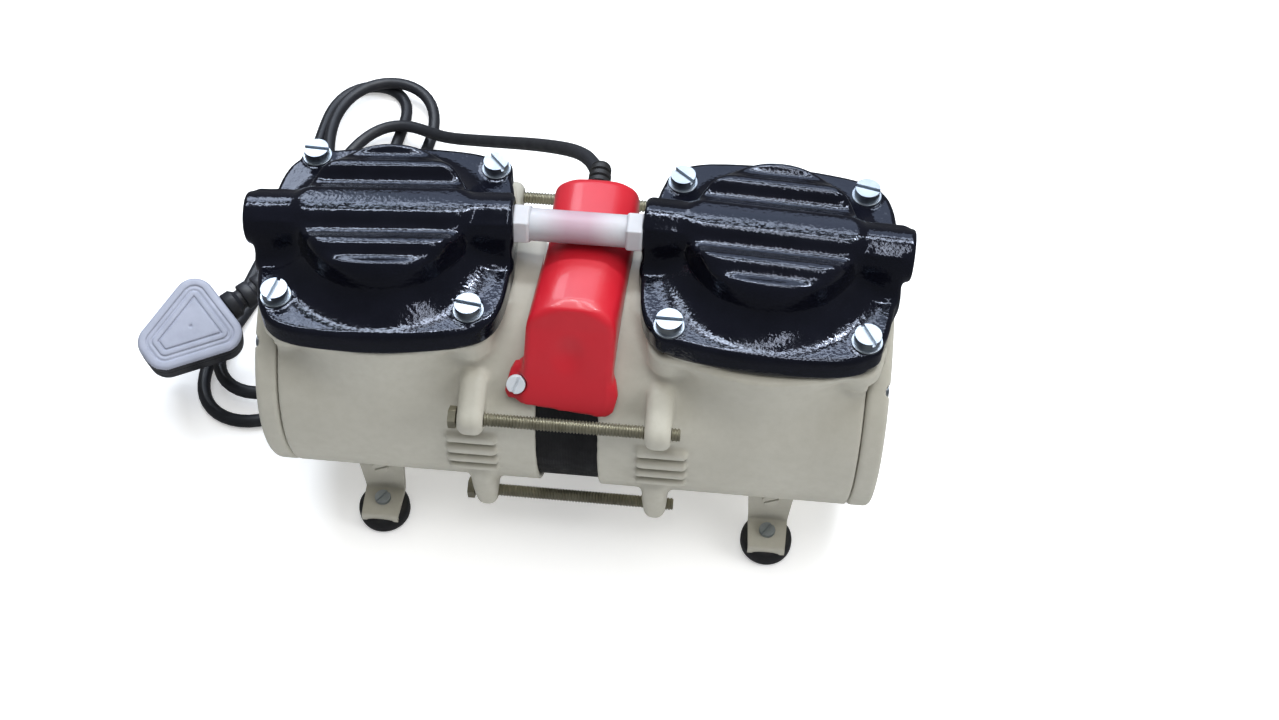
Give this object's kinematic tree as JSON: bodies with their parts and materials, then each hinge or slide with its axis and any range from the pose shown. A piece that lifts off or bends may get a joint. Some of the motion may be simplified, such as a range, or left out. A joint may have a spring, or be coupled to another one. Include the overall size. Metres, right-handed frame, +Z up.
{
  "type": "vacuum pump",
  "caption": "Twin-head oil-free diaphragm vacuum pump with a shared motor, crossover tube, rubber feet and a coiled mains cord with a round-pin plug.",
  "frame": {"origin": "on the standing surface, midway between the four feet", "axes": "+X along the shaft from the inlet head to the outlet head, +Y to the back, +Z up"},
  "size_m": [0.3242, 0.2876, 0.162],
  "materials": {
    "casting_paint": "satin grey-cream paint on a casting",
    "black_enamel": "gloss black enamel with a hammered texture",
    "bright_zinc": "bright zinc plate",
    "yellow_zinc": "yellow zinc plate",
    "steel": "ground steel",
    "rotor_steel": "turned laminations",
    "laminations": "satin black varnish",
    "copper": "varnished winding wire",
    "aluminium": "machined",
    "sintered_iron": "dark sintered iron",
    "bronze": "sintered bronze",
    "black_rubber": "matte",
    "gasket": "matte fibre gasket",
    "white_nylon": "translucent white nylon",
    "red_pvc": "soft gloss PVC",
    "terminal_plastic": "cream moulding",
    "black_plastic": "moulded",
    "cord_pvc": "satin black sheath",
    "plug_plastic": "soft satin moulding",
    "brass": "bright brass"
  },
  "bodies": {
    "pump_body": {"left_housing": "casting_paint", "right_housing": "casting_paint", "left_end_cover": "casting_paint", "right_end_cover": "casting_paint", "end_cover_screws": "bright_zinc", "stator_core": "laminations", "stator_windings": "copper", "bearing_outer_races": "steel", "bearing_balls": "steel", "left_diaphragm": "black_rubber", "right_diaphragm": "black_rubber", "left_valve_plate": "aluminium", "right_valve_plate": "aluminium", "reed_screws": "bright_zinc", "head_gaskets": "gasket", "left_head_cover": "black_enamel", "right_head_cover": "black_enamel", "head_screws": "bright_zinc", "head_washers": "bright_zinc", "crossover_tube": "white_nylon", "tie_rods": "yellow_zinc", "tie_rod_nuts": "yellow_zinc", "terminal_cover": "red_pvc", "terminal_cover_screw": "bright_zinc", "terminal_block": "terminal_plastic", "terminal_screws": "brass", "leg_brackets": "casting_paint", "leg_screws": "bright_zinc", "rubber_feet": "black_rubber", "foot_screws": "bright_zinc", "cord_gland": "black_rubber", "cord_lead": "cord_pvc", "cord_hank": "cord_pvc", "cord_tail": "cord_pvc", "plug_boot": "plug_plastic", "plug_body": "plug_plastic", "plug_pins": "brass"},
    "rotor_assembly": {"motor_shaft": "steel", "rotor": "rotor_steel", "cooling_fans": "black_plastic", "bearing_inner_races": "steel", "left_eccentric": "sintered_iron", "right_eccentric": "sintered_iron", "eccentric_set_screws": "sintered_iron"},
    "left_rod_assembly": {"left_connecting_rod": "aluminium", "left_rod_bush": "bronze", "left_clamp_disc": "aluminium", "left_clamp_screw": "bright_zinc"},
    "right_rod_assembly": {"right_connecting_rod": "aluminium", "right_rod_bush": "bronze", "right_clamp_disc": "aluminium", "right_clamp_screw": "bright_zinc"},
    "left_intake_flap": {"left_intake_reed": "steel"},
    "left_exhaust_flap": {"left_exhaust_reed": "steel"},
    "right_intake_flap": {"right_intake_reed": "steel"},
    "right_exhaust_flap": {"right_exhaust_reed": "steel"}
  },
  "joints": [
    {"name": "shaft_spin", "type": "hinge", "parent": "pump_body", "child": "rotor_assembly", "pos_m": [0, 0, 0.078], "axis": [1, 0, 0], "continuous": true, "deforming": ["left_diaphragm", "right_diaphragm"]},
    {"name": "left_rod_pivot", "type": "hinge", "parent": "rotor_assembly", "child": "left_rod_assembly", "pos_m": [-0.073, 0, 0.075], "axis": [1, 0, 0], "continuous": true},
    {"name": "right_rod_pivot", "type": "hinge", "parent": "rotor_assembly", "child": "right_rod_assembly", "pos_m": [0.073, 0, 0.081], "axis": [1, 0, 0], "continuous": true},
    {"name": "left_intake_lift", "type": "hinge", "parent": "pump_body", "child": "left_intake_flap", "pos_m": [-0.087, 0.015, 0.13043], "axis": [1, 0, 0], "range_deg": [0, 3], "stiffness_Nm_per_rad": 0.005, "springref_deg": -5.73},
    {"name": "left_exhaust_lift", "type": "hinge", "parent": "pump_body", "child": "left_exhaust_flap", "pos_m": [-0.059, 0.015, 0.13217], "axis": [-1, 0, 0], "range_deg": [0, 5], "stiffness_Nm_per_rad": 0.005, "springref_deg": -5.73},
    {"name": "right_intake_lift", "type": "hinge", "parent": "pump_body", "child": "right_intake_flap", "pos_m": [0.059, 0.015, 0.13043], "axis": [1, 0, 0], "range_deg": [0, 3], "stiffness_Nm_per_rad": 0.005, "springref_deg": -5.73},
    {"name": "right_exhaust_lift", "type": "hinge", "parent": "pump_body", "child": "right_exhaust_flap", "pos_m": [0.087, 0.015, 0.13217], "axis": [-1, 0, 0], "range_deg": [0, 5], "stiffness_Nm_per_rad": 0.005, "springref_deg": -5.73}
  ],
  "couplings": [
    {"joint": "left_rod_pivot", "follows": "shaft_spin", "ratio": -1},
    {"joint": "right_rod_pivot", "follows": "shaft_spin", "ratio": -1}
  ]
}
